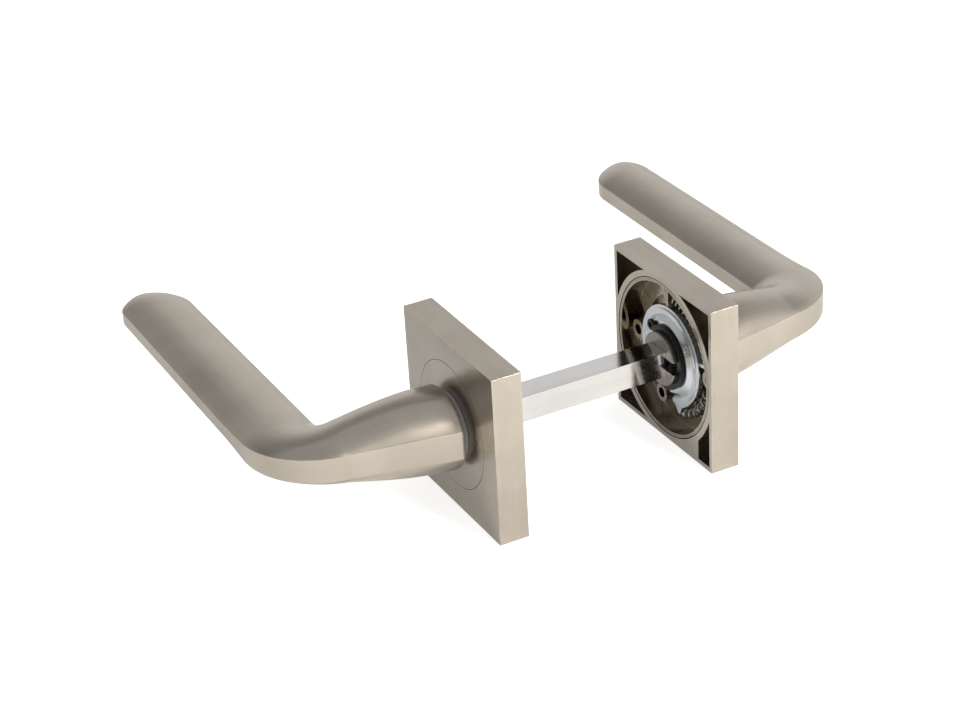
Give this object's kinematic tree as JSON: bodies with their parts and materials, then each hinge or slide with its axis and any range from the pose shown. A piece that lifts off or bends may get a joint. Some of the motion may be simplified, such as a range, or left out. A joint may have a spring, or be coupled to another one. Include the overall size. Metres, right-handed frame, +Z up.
{
  "type": "door lever handle set",
  "caption": "Pair of L-shaped satin door levers on square roses, each sprung and turning in its rose, joined by a square spindle that runs through the door.",
  "frame": {"origin": "on the spindle axis, in the plane of the outside rose's back face, at the centre of its two fixing holes", "axes": "+X along the grips towards their tips, +Y out of the door on the outside, +Z up"},
  "size_m": [0.1445, 0.1886, 0.052],
  "materials": {
    "satin_nickel": "fine satin nickel on a zinc casting",
    "satin_nickel_cover": "fine satin nickel on a zinc casting, as cast inside",
    "cast_inside": "nickel over a rough casting",
    "grey_nylon": "moulded, matte",
    "bright_steel": "bright zinc",
    "zinc_plate": "blue-passivated zinc, pressed",
    "black_steel": "black oxide, oiled",
    "spring_steel": "drawn spring wire",
    "spindle_steel": "bright zinc on drawn square bar"
  },
  "bodies": {
    "outside_rose": {"outside_rose_cover": "satin_nickel_cover", "outside_rose_base": "cast_inside", "outside_bearing_bush": "grey_nylon", "outside_thrust_washer": "bright_steel", "outside_upper_return_spring": "spring_steel", "outside_lower_return_spring": "spring_steel", "outside_cover_screw": "black_steel"},
    "outside_handle": {"outside_lever": "satin_nickel", "outside_cam_plate": "zinc_plate", "outside_circlip": "black_steel", "spindle": "spindle_steel"},
    "inside_rose": {"inside_rose_cover": "satin_nickel_cover", "inside_rose_base": "cast_inside", "inside_bearing_bush": "grey_nylon", "inside_thrust_washer": "bright_steel", "inside_upper_return_spring": "spring_steel", "inside_lower_return_spring": "spring_steel", "inside_cover_screw": "black_steel"},
    "inside_handle": {"inside_lever": "satin_nickel", "inside_cam_plate": "zinc_plate", "inside_circlip": "black_steel"}
  },
  "joints": [
    {"name": "outside_lever_turn", "type": "hinge", "parent": "outside_rose", "child": "outside_handle", "pos_m": [0, 0, 0], "axis": [0, 1, 0], "range_deg": [0, 45], "stiffness_Nm_per_rad": 1, "springref_deg": -22.92, "deforming": ["outside_upper_return_spring", "outside_lower_return_spring"]},
    {"name": "inside_handle_slide", "type": "slide", "parent": "outside_rose", "child": "inside_rose", "axis": [0, 1, 0], "range_m": [0, 0.02]},
    {"name": "inside_lever_turn", "type": "hinge", "parent": "inside_rose", "child": "inside_handle", "pos_m": [0, -0.06, 0], "axis": [0, 1, 0], "range_deg": [0, 45], "stiffness_Nm_per_rad": 1, "springref_deg": -22.92, "deforming": ["inside_upper_return_spring", "inside_lower_return_spring"]}
  ],
  "couplings": [
    {"joint": "inside_lever_turn", "follows": "outside_lever_turn", "ratio": 1}
  ]
}
